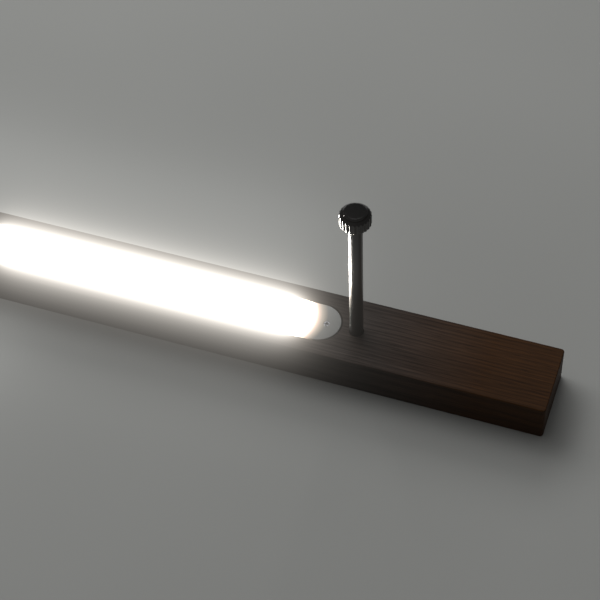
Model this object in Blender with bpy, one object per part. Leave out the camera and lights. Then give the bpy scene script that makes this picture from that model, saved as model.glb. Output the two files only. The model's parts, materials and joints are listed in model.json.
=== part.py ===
"""Linear wooden LED luminaire with a rotary dimmer on a metal stem.

X runs along the beam, Y across it and Z up, out of the lit face. The origin is the middle of the
beam's flat back, on which the luminaire lies. Sizes are in metres.
"""

import math

import bmesh
import bpy
from mathutils import Matrix, Vector

MM = 0.001

# Clearances
FIT_GAP = 0.3 * MM  # between pieces that touch on the real luminaire
CUT_OVER = 2.0 * MM  # how far a cutter runs past the face it opens

# Beam
BEAM_LENGTH = 1000 * MM
BEAM_WIDTH = 58 * MM
BEAM_HEIGHT = 31 * MM
BEAM_CORNER_RADIUS = 2.5 * MM
BEAM_EDGE_RADIUS = 0.8 * MM
BEAM_END_WALL = 12 * MM
ROUTER_RADIUS = 4 * MM  # inside corners of the routed pockets

# Light cover and the channel under it
COVER_WIDTH = 34 * MM
COVER_THICKNESS = 3 * MM
COVER_RECESS = 0.2 * MM
COVER_EDGE = 0.4 * MM
COVER_SHADOW_GAP = 0.7 * MM
COVER_LEDGE = 4 * MM
COVER_LAND = 18 * MM  # solid wood under each round end
COVER_SCREW_INSET = 11 * MM
CHANNEL_FLOOR = 12 * MM  # wood left under the channel

# Aluminium rail and LED boards
RAIL_SIDE_SPACE = 3 * MM
RAIL_END_SPACE = 10 * MM
RAIL_BASE = 2 * MM
RAIL_LIP = 1.5 * MM
RAIL_HEIGHT = 8 * MM
RAIL_SCREW_ZONE = 8 * MM
BOARD_COUNT = 4
BOARD_THICKNESS = 1.6 * MM
BOARD_GAP = 0.6 * MM
LED_SIZE = (2.8 * MM, 3.5 * MM, 0.7 * MM)
LED_PITCH = 10 * MM
LED_MARGIN = 10 * MM
LED_SINK = 0.2 * MM
LINK_OVERLAP = 5.5 * MM
LINK_WIDTH = 8 * MM
LINK_HEIGHT = 2.5 * MM

# Stem and dimmer spindle
STEM_FROM_END = 148 * MM
STEM_TO_COVER = 12 * MM
STEM_EXPOSED = 118.5 * MM
STEM_DIAMETER = 10 * MM
STEM_WALL = 0.8 * MM
STEM_HOLE_GAP = 0.4 * MM
STEM_INTO_KNOB = 1 * MM
STEM_PAST_NUT = 0.5 * MM
SLEEVE_WALL = 0.6 * MM
SLEEVE_LENGTH = 18 * MM
SLEEVE_ABOVE_TUBE_END = 2.5 * MM
SHAFT_JOINT_ABOVE_TUBE_END = 11.5 * MM
BUSH_LENGTH = 8 * MM
BUSH_FLANGE = 0.8 * MM
PLATE_LENGTH = 36 * MM
PLATE_WIDTH = 30 * MM
PLATE_THICKNESS = 3 * MM
PLATE_CORNER = 3 * MM
PLATE_SCREW_OFFSET = 13 * MM
NUT_HEIGHT = 3 * MM
NUT_WALL = 2 * MM

# Dimmer board
PCB_LENGTH = 30 * MM
PCB_WIDTH = 27 * MM
PCB_THICKNESS = 1.6 * MM
PCB_SCREW_OFFSET = 11 * MM
SPACER_WALL = 0.8 * MM
POT_LENGTH = 12 * MM
POT_WIDTH = 11 * MM
POT_HEIGHT = 6.5 * MM
POT_BORE_DEPTH = 3.3 * MM
TERMINAL_LENGTH = 6 * MM
TERMINAL_WIDTH = 8 * MM
TERMINAL_HEIGHT = 5.5 * MM

# Knob
KNOB_DIAMETER = 22.5 * MM
KNOB_HEIGHT = 9.6 * MM
KNOB_CHAMFER = 0.9 * MM
KNOB_SHOULDER = 1.8 * MM  # height of the shoulder that narrows the knob towards its cap
KNOB_FOOT_EDGE = 0.7 * MM
KNOB_TOP_RIM = 0.8 * MM  # flat rim round the cap
KNOB_FLUTES = 24
KNOB_FLUTE_DEPTH = 0.7 * MM
KNOB_RECESS_WALL = 4 * MM
KNOB_RECESS_DEPTH = 2.6 * MM
KNOB_WEB = 1.2 * MM
KNOB_FLAT = 0.8 * MM
KNOB_RIM = 2.95 * MM  # from the knob's side in to its cap
CAP_THICKNESS = 1.8 * MM
CAP_SINK = 0.8 * MM
GRUB_DIAMETER = 3 * MM
GRUB_INSET = 1.2 * MM

# Pockets, hatches and wire slots in the back
POCKET_SIDE_SPACE = 1 * MM
POCKET_END_SPACE = 1.5 * MM
HATCH_LIP = 5.5 * MM
HATCH_RECESS = 1.6 * MM
HATCH_THICKNESS = 1.5 * MM
SLOT_OFFSET = 9 * MM
SLOT_WIDTH = 7 * MM
SLOT_RISE = 3 * MM  # how far the slot's roof is above the channel's floor
SLOT_UNDER_CHANNEL = 6 * MM

# Driver
DRIVER_WIDTH = 30 * MM
DRIVER_WALL = 1.5 * MM
DRIVER_LID = 1.5 * MM
DRIVER_INLET_SPACE = 33 * MM
DRIVER_OUTLET_SPACE = 22 * MM
DRIVER_BOARD_DROP = 1.5 * MM
EAR_LENGTH = 9 * MM
EAR_WIDTH = 9 * MM
EAR_THICKNESS = 2.5 * MM
BLOCK_LENGTH = 10 * MM
BLOCK_WIDTH = 19.5 * MM
BLOCK_HEIGHT = 10 * MM
TRANSFORMER_SIZE = (22 * MM, 18 * MM, 9 * MM)

# Mains inlet
GROMMET_FROM_WALL = 11 * MM
GROMMET_BORE = 7 * MM
GROMMET_WALL = 1.2 * MM
GROMMET_FLANGE = 2.1 * MM
GROMMET_RIM = 1 * MM

# Suspension inserts
INSERT_FROM_CHANNEL_END = 72 * MM
INSERT_BORE = 6.6 * MM
INSERT_WALL = 2.2 * MM
INSERT_LENGTH = 9 * MM
INSERT_FLANGE_RADIUS = 7 * MM
INSERT_FLANGE = 1 * MM

# Leads
LEAD_DIAMETER = 2.2 * MM

# Screws: head radius, shank radius, head height, recess radius
WOOD_SCREW = (2.8 * MM, 1.25 * MM, 1.6 * MM, 1.3 * MM)
COVER_SCREW = (2.35 * MM, 1.2 * MM, 1.4 * MM, 1.1 * MM)
PAN_SCREW = (2.3 * MM, 1.1 * MM, 1.4 * MM, 1.0 * MM)
SCREW_SEGMENTS = 12
COVER_SCREW_LENGTH = 10 * MM
RAIL_SCREW_LENGTH = 9 * MM
HATCH_SCREW_LENGTH = 8 * MM
PCB_SCREW_LENGTH = 8 * MM
WOOD_OVER_SCREW_TIP = 5 * MM

# Heights, from the back face up
HATCH_TOP = HATCH_RECESS + HATCH_THICKNESS
PCB_BOTTOM = HATCH_TOP + FIT_GAP + PAN_SCREW[2] + FIT_GAP
PCB_TOP = PCB_BOTTOM + PCB_THICKNESS
POT_BOTTOM = PCB_TOP + FIT_GAP
POT_TOP = POT_BOTTOM + POT_HEIGHT
TUBE_BOTTOM = POT_TOP + FIT_GAP
NUT_BOTTOM = TUBE_BOTTOM + STEM_PAST_NUT
PLATE_BOTTOM = NUT_BOTTOM + NUT_HEIGHT + FIT_GAP
PLATE_TOP = PLATE_BOTTOM + PLATE_THICKNESS
POCKET_CEILING = PLATE_TOP + FIT_GAP
ROOF_SCREW_TIP = BEAM_HEIGHT - WOOD_OVER_SCREW_TIP
COVER_TOP = BEAM_HEIGHT - COVER_RECESS
COVER_BOTTOM = COVER_TOP - COVER_THICKNESS
REBATE_FLOOR = COVER_BOTTOM - FIT_GAP
RAIL_BOTTOM = CHANNEL_FLOOR + FIT_GAP
BOARD_BOTTOM = RAIL_BOTTOM + RAIL_BASE + FIT_GAP
BOARD_TOP = BOARD_BOTTOM + BOARD_THICKNESS
KNOB_BOTTOM = BEAM_HEIGHT + STEM_EXPOSED
TUBE_TOP = KNOB_BOTTOM + STEM_INTO_KNOB
HUB_BOTTOM = KNOB_BOTTOM + KNOB_RECESS_DEPTH
KNOB_TOP = KNOB_BOTTOM + KNOB_HEIGHT
CAP_FLOOR = KNOB_TOP - CAP_SINK
BORE_TOP = CAP_FLOOR - KNOB_WEB
SHAFT_TOP = BORE_TOP - FIT_GAP
SHAFT_JOINT = TUBE_BOTTOM + SHAFT_JOINT_ABOVE_TUBE_END

# Places along the beam
BEAM_END = BEAM_LENGTH / 2
STEM_X = BEAM_END - STEM_FROM_END
COVER_END = STEM_X - STEM_TO_COVER
CHANNEL_END = COVER_END - COVER_LAND
COVER_SCREW_X = COVER_END - COVER_SCREW_INSET
POCKET_HALF_LENGTH = PLATE_LENGTH / 2 + POCKET_END_SPACE
POCKET_NEAR_WALL = STEM_X - POCKET_HALF_LENGTH
POCKET_FAR_WALL = STEM_X + POCKET_HALF_LENGTH
SLOT_START = CHANNEL_END - SLOT_UNDER_CHANNEL
DRIVER_POCKET_WALL = BEAM_END - BEAM_END_WALL
RAIL_END = CHANNEL_END - RAIL_END_SPACE
INSERT_X = CHANNEL_END - INSERT_FROM_CHANNEL_END
DRIVER_LEFT = -DRIVER_POCKET_WALL + DRIVER_INLET_SPACE
DRIVER_RIGHT = -POCKET_NEAR_WALL - DRIVER_OUTLET_SPACE

# Widths and radii
CHANNEL_WIDTH = COVER_WIDTH - 2 * COVER_LEDGE
RAIL_WIDTH = CHANNEL_WIDTH - 2 * RAIL_SIDE_SPACE
BOARD_WIDTH = RAIL_WIDTH - 2 * RAIL_LIP - 2 * FIT_GAP
BOARD_RUN = RAIL_END - RAIL_SCREW_ZONE
BOARD_LENGTH = (BOARD_RUN - RAIL_SCREW_ZONE / 2 - BOARD_GAP) / (BOARD_COUNT / 2)
POCKET_WIDTH = max(DRIVER_WIDTH, PLATE_WIDTH) + 2 * POCKET_SIDE_SPACE
HATCH_HALF_WIDTH = POCKET_WIDTH / 2 + HATCH_LIP
HATCH_SCREW_INSET = HATCH_LIP / 2
TUBE_RADIUS = STEM_DIAMETER / 2
TUBE_BORE = TUBE_RADIUS - STEM_WALL
SLEEVE_RADIUS = TUBE_BORE - FIT_GAP
SLEEVE_BORE = SLEEVE_RADIUS - SLEEVE_WALL
SHAFT_RADIUS = SLEEVE_BORE - FIT_GAP
KNOB_RADIUS = KNOB_DIAMETER / 2
CAP_RADIUS = KNOB_RADIUS - KNOB_RIM

# name: (base colour, roughness, metallic)
FINISHES = {
    "smoked_oak": ((0.045, 0.026, 0.014), 0.55, 0.0),
    "opal_acrylic": ((0.80, 0.80, 0.78), 0.35, 0.0),
    "black_enamel": ((0.06, 0.06, 0.065), 0.32, 0.0),
    "zinc_steel": ((0.55, 0.56, 0.58), 0.35, 1.0),
    "black_gloss": ((0.010, 0.010, 0.011), 0.25, 0.0),
    "mill_aluminium": ((0.75, 0.76, 0.78), 0.40, 1.0),
    "white_board": ((0.85, 0.86, 0.84), 0.45, 0.0),
    "green_board": ((0.02, 0.16, 0.07), 0.45, 0.0),
    "white_plastic": ((0.80, 0.80, 0.78), 0.45, 0.0),
    "black_plastic": ((0.02, 0.02, 0.02), 0.45, 0.0),
    "brass": ((0.70, 0.50, 0.20), 0.30, 1.0),
    "rubber": ((0.03, 0.03, 0.03), 0.80, 0.0),
    "powder_coat": ((0.03, 0.03, 0.03), 0.60, 0.0),
    "grey_cable": ((0.35, 0.35, 0.36), 0.60, 0.0),
}


def clear_scene():
    for obj in list(bpy.data.objects):
        bpy.data.objects.remove(obj)


def finish(name):
    """The material of that name, made on first use."""
    material = bpy.data.materials.get(name)
    if material is None:
        colour, roughness, metallic = FINISHES[name]
        material = bpy.data.materials.new(name)
        material.use_nodes = True
        shader = material.node_tree.nodes["Principled BSDF"]
        shader.inputs["Base Color"].default_value = (*colour, 1)
        shader.inputs["Roughness"].default_value = roughness
        shader.inputs["Metallic"].default_value = metallic
    return material


def mesh_from(bm, name, smooth_angle=None):
    bmesh.ops.recalc_face_normals(bm, faces=bm.faces)
    mesh = bpy.data.meshes.new(name)
    bm.to_mesh(mesh)
    bm.free()
    if smooth_angle:
        mesh.shade_smooth()
        mesh.set_sharp_from_angle(angle=smooth_angle)
    return mesh


def place(name, mesh, finish_name, location=(0, 0, 0), rotation=(0, 0, 0), parent=None):
    """An object for the mesh, in the scene, with its finish."""
    obj = bpy.data.objects.new(name, mesh)
    bpy.context.scene.collection.objects.link(obj)
    obj.location = location
    obj.rotation_euler = rotation
    obj.parent = parent
    if not mesh.materials:
        mesh.materials.append(finish(finish_name))
    return obj


def rounded_outline(x0, x1, y0, y1, radius, steps=5):
    """The corners of a rectangle with round corners, anticlockwise."""
    points = []
    left, right, low, high = x0 + radius, x1 - radius, y0 + radius, y1 - radius
    for quarter, (cx, cy) in enumerate(((right, high), (left, high), (left, low), (right, low))):
        for step in range(steps + 1):
            angle = math.pi / 2 * (quarter + step / steps)
            points.append((cx + radius * math.cos(angle), cy + radius * math.sin(angle)))
    return points


def prism(points, z0, z1):
    """A bmesh of the outline drawn up from z0 to z1."""
    bm = bmesh.new()
    base = bm.faces.new([bm.verts.new((x, y, z0)) for x, y in points])
    made = bmesh.ops.extrude_face_region(bm, geom=[base])
    top = [v for v in made["geom"] if isinstance(v, bmesh.types.BMVert)]
    bmesh.ops.translate(bm, verts=top, vec=(0, 0, z1 - z0))
    bmesh.ops.remove_doubles(bm, verts=bm.verts, dist=1e-6)
    return bm


def box(x0, x1, y0, y1, z0, z1):
    return prism([(x1, y1), (x0, y1), (x0, y0), (x1, y0)], z0, z1)


def block(size, bottom=0):
    """A box of that size, centred on the Z axis and standing at height bottom."""
    x, y, z = size
    return box(-x / 2, x / 2, -y / 2, y / 2, bottom, bottom + z)


def bevel_edges(bm, width, segments, wanted):
    edges = [e for e in bm.edges if wanted(e)]
    bmesh.ops.bevel(bm, geom=edges, offset=width, segments=segments, affect="EDGES", profile=0.5, material=-1)


def above(height):
    """A test for edges that lie at that height."""
    return lambda e: all(v.co.z > height - 1e-6 for v in e.verts)


def extruded_along_x(points, x0, x1):
    """A bmesh of an outline in Y and Z drawn along X."""
    bm = prism(points, x0, x1)
    lay_down = Matrix(((0, 0, 1, 0), (1, 0, 0, 0), (0, 1, 0, 0), (0, 0, 0, 1)))
    bmesh.ops.transform(bm, verts=bm.verts, matrix=lay_down)
    return bm


def turned(profile, segments, ring=False):
    """A bmesh of (radius, height) points spun about Z. A ring's profile closes on itself."""
    bm = bmesh.new()
    verts = [bm.verts.new((r, 0, z)) for r, z in profile]
    pairs = list(zip(verts, verts[1:]))
    if ring:
        pairs.append((verts[-1], verts[0]))
    edges = [bm.edges.new(pair) for pair in pairs]
    bmesh.ops.spin(
        bm, geom=verts + edges, cent=(0, 0, 0), axis=(0, 0, 1), angle=math.tau, steps=segments, use_merge=True
    )
    bmesh.ops.remove_doubles(bm, verts=bm.verts, dist=1e-6)
    return bm


def tube(outer, inner, z0, z1, segments=32):
    return turned([(outer, z0), (outer, z1), (inner, z1), (inner, z0)], segments, ring=True)


def rod(radius, z0, z1, segments=32):
    return turned([(0, z0), (radius, z0), (radius, z1), (0, z1)], segments)


def cutter(bm, location=(0, 0, 0), rotation=(0, 0, 0)):
    """A hidden object that only cuts or joins."""
    obj = bpy.data.objects.new("cutter", mesh_from(bm, "cutter"))
    obj.location = location
    obj.rotation_euler = rotation
    obj.hide_render = True
    obj.display_type = "WIRE"
    return obj


def boolean(obj, tools, operation="DIFFERENCE"):
    """One Boolean of the object with each of the tools."""
    group = bpy.data.collections.new(obj.name + "_" + operation.lower())
    bpy.context.scene.collection.children.link(group)
    group.hide_render = True
    for tool in tools:
        group.objects.link(tool)
    modifier = obj.modifiers.new(operation.title(), "BOOLEAN")
    modifier.operation = operation
    modifier.operand_type = "COLLECTION"
    modifier.collection = group
    return obj


def evaluated_mesh(obj):
    """The object's mesh with its modifiers applied, for pieces that share it. The object is removed."""
    graph = bpy.context.evaluated_depsgraph_get()
    mesh = bpy.data.meshes.new_from_object(obj.evaluated_get(graph))
    bpy.data.objects.remove(obj)
    return mesh


# Screws point down from the top of the head, at the origin. A hole is the same shape, wider.


def screw_shape(kind, length, grow=0.0):
    """A countersunk screw, or with grow the cutter for its hole."""
    head, shank, height, recess = kind
    if grow:
        top = [(0, CUT_OVER), (head + grow, CUT_OVER), (head + grow, 0)]
    else:
        top = [(0, -height * 0.7), (recess, -height * 0.6), (recess, 0), (head, 0), (head, -0.2 * MM)]
    shank += grow
    tip = -length - grow
    profile = top + [(shank, -height - grow), (shank, tip + shank), (0, tip)]
    return turned(profile, SCREW_SEGMENTS)


def pan_screw_shape(kind, length):
    """A pan-head screw whose head stands on the Z=0 plane, with its shank going down."""
    head, shank, height, recess = kind
    edge = 0.4 * MM
    profile = [
        (0, height * 0.4),
        (recess, height * 0.4),
        (recess, height),
        (head - edge, height),
        (head, height - edge),
        (head, 0),
        (shank, 0),
        (shank, -length),
        (0, -length),
    ]
    return turned(profile, SCREW_SEGMENTS)


POINT_UP = (math.pi, 0, 0)


def roof_screw_length(head_z):
    """How long a screw driven up from head_z is, so that its tip stops under the lit face."""
    return ROOF_SCREW_TIP - head_z


def screw_places():
    """Each wood screw: name, kind, head position, length and rotation. The beam's pilot holes follow it."""
    down, up = (0, 0, 0), POINT_UP
    places = []
    for side, sign in (("left", -1), ("right", 1)):
        head = (sign * COVER_SCREW_X, 0, COVER_TOP - 0.1 * MM)
        places.append((f"cover_screw_{side}", COVER_SCREW, head, COVER_SCREW_LENGTH, down))
    rail_top = RAIL_BOTTOM + RAIL_BASE
    for side, sign in (("left", -1), ("middle", 0), ("right", 1)):
        head = (sign * (RAIL_END - RAIL_SCREW_ZONE / 2), 0, rail_top)
        places.append((f"rail_screw_{side}", WOOD_SCREW, head, RAIL_SCREW_LENGTH, down))
    for number, sign in ((1, -1), (2, 1)):
        head = (STEM_X + sign * PLATE_SCREW_OFFSET, 0, PLATE_BOTTOM)
        places.append((f"stem_plate_screw_{number}", WOOD_SCREW, head, roof_screw_length(PLATE_BOTTOM), up))
    for hatch, (x0, x1) in (("dimmer", dimmer_hatch_span()), ("driver", driver_hatch_span())):
        number = 0
        for x in (x0 + HATCH_SCREW_INSET, x1 - HATCH_SCREW_INSET):
            for sign in (-1, 1):
                number += 1
                head = (x, sign * (HATCH_HALF_WIDTH - HATCH_SCREW_INSET), HATCH_RECESS)
                places.append((f"{hatch}_hatch_screw_{number}", WOOD_SCREW, head, HATCH_SCREW_LENGTH, up))
    ear_bottom = PLATE_TOP - EAR_THICKNESS
    for number, (x, y) in enumerate(ear_centres(), 1):
        head = (x, y, ear_bottom)
        places.append((f"driver_screw_{number}", WOOD_SCREW, head, roof_screw_length(ear_bottom), up))
    return places


def holes_for(prefix):
    """Cutters for the holes of the screws whose names start with prefix."""
    return [
        cutter(screw_shape(kind, length, FIT_GAP), head, rotation)
        for name, kind, head, length, rotation in screw_places()
        if name.startswith(prefix)
    ]


def screws():
    meshes = {}
    for name, kind, head, length, rotation in screw_places():
        key = (kind, round(length / MM, 3))
        if key not in meshes:
            meshes[key] = mesh_from(screw_shape(kind, length), "screw", math.radians(40))
        place(name, meshes[key], "zinc_steel", head, rotation)


# Spans and centres that more than one piece uses


def dimmer_hatch_span():
    return SLOT_START - HATCH_LIP, POCKET_FAR_WALL + HATCH_LIP


def driver_hatch_span():
    return -DRIVER_POCKET_WALL - HATCH_LIP, -SLOT_START + HATCH_LIP


def ear_centres():
    """The two ears stand at opposite corners of the driver case."""
    y = DRIVER_WIDTH / 2 - EAR_WIDTH / 2
    return ((DRIVER_LEFT - EAR_LENGTH / 2, -y), (DRIVER_RIGHT + EAR_LENGTH / 2, y))


def grommet_x():
    return -DRIVER_POCKET_WALL + GROMMET_FROM_WALL


def grommet_neck():
    return GROMMET_BORE / 2 + GROMMET_WALL


# Beam


def beam_blank():
    outline = rounded_outline(
        -BEAM_END, BEAM_END, -BEAM_WIDTH / 2, BEAM_WIDTH / 2, BEAM_CORNER_RADIUS, steps=6
    )
    bm = prism(outline, 0, BEAM_HEIGHT)
    bevel_edges(bm, BEAM_EDGE_RADIUS, 3, lambda e: abs(e.verts[0].co.z - e.verts[1].co.z) < 1e-6)
    return bm


def routed(x0, x1, half_width, z0, z1, radius, y=0, steps=5):
    """A cutter for a pocket with round corners, centred at y across the beam."""
    return cutter(prism(rounded_outline(x0, x1, y - half_width, y + half_width, radius, steps), z0, z1))


def beam_cutters():
    rebate_half = COVER_WIDTH / 2 + COVER_SHADOW_GAP
    rebate_end = COVER_END + COVER_SHADOW_GAP
    rebate_top, channel_top = BEAM_HEIGHT + CUT_OVER, REBATE_FLOOR + CUT_OVER
    cuts = [
        routed(-rebate_end, rebate_end, rebate_half, REBATE_FLOOR, rebate_top, rebate_half, steps=12),
        routed(-CHANNEL_END, CHANNEL_END, CHANNEL_WIDTH / 2, CHANNEL_FLOOR, channel_top, ROUTER_RADIUS),
    ]
    half, below = POCKET_WIDTH / 2, -CUT_OVER
    for x0, x1 in ((POCKET_NEAR_WALL, POCKET_FAR_WALL), (-DRIVER_POCKET_WALL, -POCKET_NEAR_WALL)):
        cuts.append(routed(x0, x1, half, below, POCKET_CEILING, ROUTER_RADIUS))
    half, seat = HATCH_HALF_WIDTH + FIT_GAP, HATCH_TOP + FIT_GAP
    for x0, x1 in (dimmer_hatch_span(), driver_hatch_span()):
        cuts.append(routed(x0 - FIT_GAP, x1 + FIT_GAP, half, below, seat, ROUTER_RADIUS))
    into_pocket = POCKET_NEAR_WALL + CUT_OVER
    slot_roof = CHANNEL_FLOOR + SLOT_RISE
    half = SLOT_WIDTH / 2
    cuts.append(routed(SLOT_START, into_pocket, half, below, slot_roof, half, y=SLOT_OFFSET))
    for y in (-SLOT_OFFSET, SLOT_OFFSET):
        cuts.append(routed(-into_pocket, -SLOT_START, half, below, slot_roof, half, y=y))
    cuts.append(cutter(rod(TUBE_RADIUS + STEM_HOLE_GAP, 0, BEAM_HEIGHT), (STEM_X, 0, CUT_OVER)))
    insert = [
        (0, -CUT_OVER),
        (INSERT_FLANGE_RADIUS + FIT_GAP, -CUT_OVER),
        (INSERT_FLANGE_RADIUS + FIT_GAP, INSERT_FLANGE + 2 * FIT_GAP),
        (insert_radius() + FIT_GAP, INSERT_FLANGE + 2 * FIT_GAP),
        (insert_radius() + FIT_GAP, INSERT_LENGTH + 2 * FIT_GAP),
        (0, INSERT_LENGTH + 2 * FIT_GAP),
    ]
    for sign in (-1, 1):
        cuts.append(cutter(turned(insert, 24), (sign * INSERT_X, 0, 0)))
    for prefix in ("cover", "rail", "stem", "dimmer", "driver"):
        cuts += holes_for(prefix)
    return cuts


def wood_beam():
    beam = place("wood_beam", mesh_from(beam_blank(), "wood_beam", math.radians(30)), "smoked_oak")
    boolean(beam, beam_cutters())


# Light


def light_cover():
    half = COVER_WIDTH / 2
    bm = prism(rounded_outline(-COVER_END, COVER_END, -half, half, half, steps=12), COVER_BOTTOM, COVER_TOP)
    bevel_edges(bm, COVER_EDGE, 1, above(COVER_TOP))
    cover = place("light_cover", mesh_from(bm, "light_cover", math.radians(35)), "opal_acrylic")
    boolean(cover, holes_for("cover"))


def led_rail():
    half, top = RAIL_WIDTH / 2, RAIL_BOTTOM + RAIL_HEIGHT
    floor, inner = RAIL_BOTTOM + RAIL_BASE, RAIL_WIDTH / 2 - RAIL_LIP
    section = [
        (-half, RAIL_BOTTOM),
        (half, RAIL_BOTTOM),
        (half, top),
        (inner, top),
        (inner, floor),
        (-inner, floor),
        (-inner, top),
        (-half, top),
    ]
    blank = mesh_from(extruded_along_x(section, -RAIL_END, RAIL_END), "led_rail")
    rail = place("led_rail", blank, "mill_aluminium")
    boolean(rail, holes_for("rail"))


def board_centres():
    """The boards lie in two pairs, either side of the rail's middle screw."""
    first = RAIL_SCREW_ZONE / 2 + BOARD_LENGTH / 2
    pitch = BOARD_LENGTH + BOARD_GAP
    right = [first + pitch * n for n in range(BOARD_COUNT // 2)]
    return [-x for x in reversed(right)] + right


def led_board_mesh():
    """One board with its LEDs, centred on the origin and lying at its own height."""
    count = int((BOARD_LENGTH - 2 * LED_MARGIN) / LED_PITCH + 1e-6) + 1
    leds = [
        cutter(block((LED_SIZE[0], LED_SIZE[1], LED_SIZE[2] + LED_SINK), BOARD_TOP - LED_SINK), (x, 0, 0))
        for x in (LED_PITCH * (n - (count - 1) / 2) for n in range(count))
    ]
    bare = mesh_from(block((BOARD_LENGTH, BOARD_WIDTH, BOARD_THICKNESS), BOARD_BOTTOM), "led_board")
    blank = place("led_board_blank", bare, "white_board")
    return evaluated_mesh(boolean(blank, leds, "UNION"))


def led_boards():
    mesh = led_board_mesh()
    centres = board_centres()
    for number, x in enumerate(centres, 1):
        place(f"led_board_{number}", mesh, "white_board", (x, 0, 0))
    for number, (a, b) in enumerate(zip(centres, centres[1:]), 1):
        length = b - a - BOARD_LENGTH + 2 * LINK_OVERLAP
        bm = block((length, LINK_WIDTH, LINK_HEIGHT), BOARD_TOP + FIT_GAP)
        bevel_edges(bm, 0.5 * MM, 1, above(BOARD_TOP + FIT_GAP + LINK_HEIGHT))
        place(f"board_link_{number}", mesh_from(bm, "board_link"), "white_plastic", ((a + b) / 2, 0, 0))


# Stem


def stem():
    at = (STEM_X, 0, 0)
    smooth = math.radians(35)
    outer = tube(TUBE_RADIUS, TUBE_BORE, TUBE_BOTTOM, TUBE_TOP, 36)
    place("stem_tube", mesh_from(outer, "stem_tube", smooth), "black_enamel", at)

    flange = TUBE_TOP + FIT_GAP
    bush = [
        (SLEEVE_BORE, flange - BUSH_LENGTH),
        (SLEEVE_RADIUS, flange - BUSH_LENGTH),
        (SLEEVE_RADIUS, flange),
        (TUBE_RADIUS, flange),
        (TUBE_RADIUS, flange + BUSH_FLANGE),
        (SLEEVE_BORE, flange + BUSH_FLANGE),
    ]
    place("stem_bush", mesh_from(turned(bush, 28, ring=True), "stem_bush", smooth), "white_plastic", at)

    outline = rounded_outline(
        -PLATE_LENGTH / 2, PLATE_LENGTH / 2, -PLATE_WIDTH / 2, PLATE_WIDTH / 2, PLATE_CORNER
    )
    blank = mesh_from(prism(outline, PLATE_BOTTOM, PLATE_TOP), "stem_plate")
    plate = place("stem_plate", blank, "zinc_steel", at)
    hole = cutter(rod(TUBE_RADIUS + FIT_GAP, PLATE_BOTTOM - CUT_OVER, PLATE_TOP + CUT_OVER), at)
    boolean(plate, [hole] + holes_for("stem_plate"))

    corner = (TUBE_RADIUS + NUT_WALL) / math.cos(math.pi / 6)
    sixth = math.tau / 6
    hexagon = [(corner * math.cos(sixth * n), corner * math.sin(sixth * n)) for n in range(6)]
    blank = mesh_from(prism(hexagon, NUT_BOTTOM, NUT_BOTTOM + NUT_HEIGHT), "stem_lock_nut")
    nut = place("stem_lock_nut", blank, "brass", at)
    bore = rod(TUBE_RADIUS + FIT_GAP, NUT_BOTTOM - CUT_OVER, NUT_BOTTOM + NUT_HEIGHT + CUT_OVER)
    boolean(nut, [cutter(bore, at)])


# Dimmer spindle: everything that turns with the knob hangs from one empty on the stem's axis


def spindle_axis():
    axis = bpy.data.objects.new("dimmer_spindle_axis", None)
    bpy.context.scene.collection.objects.link(axis)
    axis.location = (STEM_X, 0, 0)
    return axis


def shaft_flat_y():
    return SHAFT_RADIUS - KNOB_FLAT


def shafts(axis):
    smooth = math.radians(35)
    bottom = POT_TOP - POT_BORE_DEPTH + FIT_GAP
    lower = mesh_from(rod(SHAFT_RADIUS, bottom, SHAFT_JOINT - FIT_GAP, 28), "potentiometer_shaft", smooth)
    place("potentiometer_shaft", lower, "mill_aluminium", parent=axis)
    sleeve_bottom = TUBE_BOTTOM + SLEEVE_ABOVE_TUBE_END
    sleeve = tube(SLEEVE_RADIUS, SLEEVE_BORE, sleeve_bottom, sleeve_bottom + SLEEVE_LENGTH, 28)
    place("shaft_sleeve", mesh_from(sleeve, "shaft_sleeve", smooth), "brass", parent=axis)
    upper = mesh_from(rod(SHAFT_RADIUS, SHAFT_JOINT, SHAFT_TOP, 28), "drive_shaft", smooth)
    shaft = place("drive_shaft", upper, "zinc_steel", parent=axis)
    flat = box(-TUBE_RADIUS, TUBE_RADIUS, shaft_flat_y(), TUBE_RADIUS, HUB_BOTTOM, SHAFT_TOP + CUT_OVER)
    boolean(shaft, [cutter(flat, (STEM_X, 0, 0))])


def fluted_outline(radius):
    """The knob's outline, with a groove at each step round it."""
    points = []
    step = math.tau / KNOB_FLUTES
    for flute in range(KNOB_FLUTES):
        for share, depth in ((0, KNOB_FLUTE_DEPTH), (0.22, 0), (0.5, 0), (0.78, 0)):
            angle = step * (flute + share)
            r = radius - depth
            points.append((r * math.cos(angle), r * math.sin(angle)))
    return points


def knob_blank():
    """The fluted body, drawn up in rings that close in at the bottom and top edges."""
    bm = bmesh.new()
    rings = (
        (KNOB_RADIUS - KNOB_FOOT_EDGE, KNOB_BOTTOM),
        (KNOB_RADIUS, KNOB_BOTTOM + KNOB_FOOT_EDGE),
        (KNOB_RADIUS, KNOB_TOP - KNOB_SHOULDER),
        (KNOB_RADIUS - KNOB_CHAMFER, KNOB_TOP - KNOB_SHOULDER / 2),
        (CAP_RADIUS + KNOB_TOP_RIM, KNOB_TOP),
    )
    layers = [[bm.verts.new((x, y, z)) for x, y in fluted_outline(r)] for r, z in rings]
    for low, high in zip(layers, layers[1:]):
        for n in range(len(low)):
            m = (n + 1) % len(low)
            bm.faces.new((low[n], low[m], high[m], high[n]))
    bm.faces.new(reversed(layers[0]))
    bm.faces.new(layers[-1])
    return bm


def grub_height():
    return (HUB_BOTTOM + BORE_TOP) / 2


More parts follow.
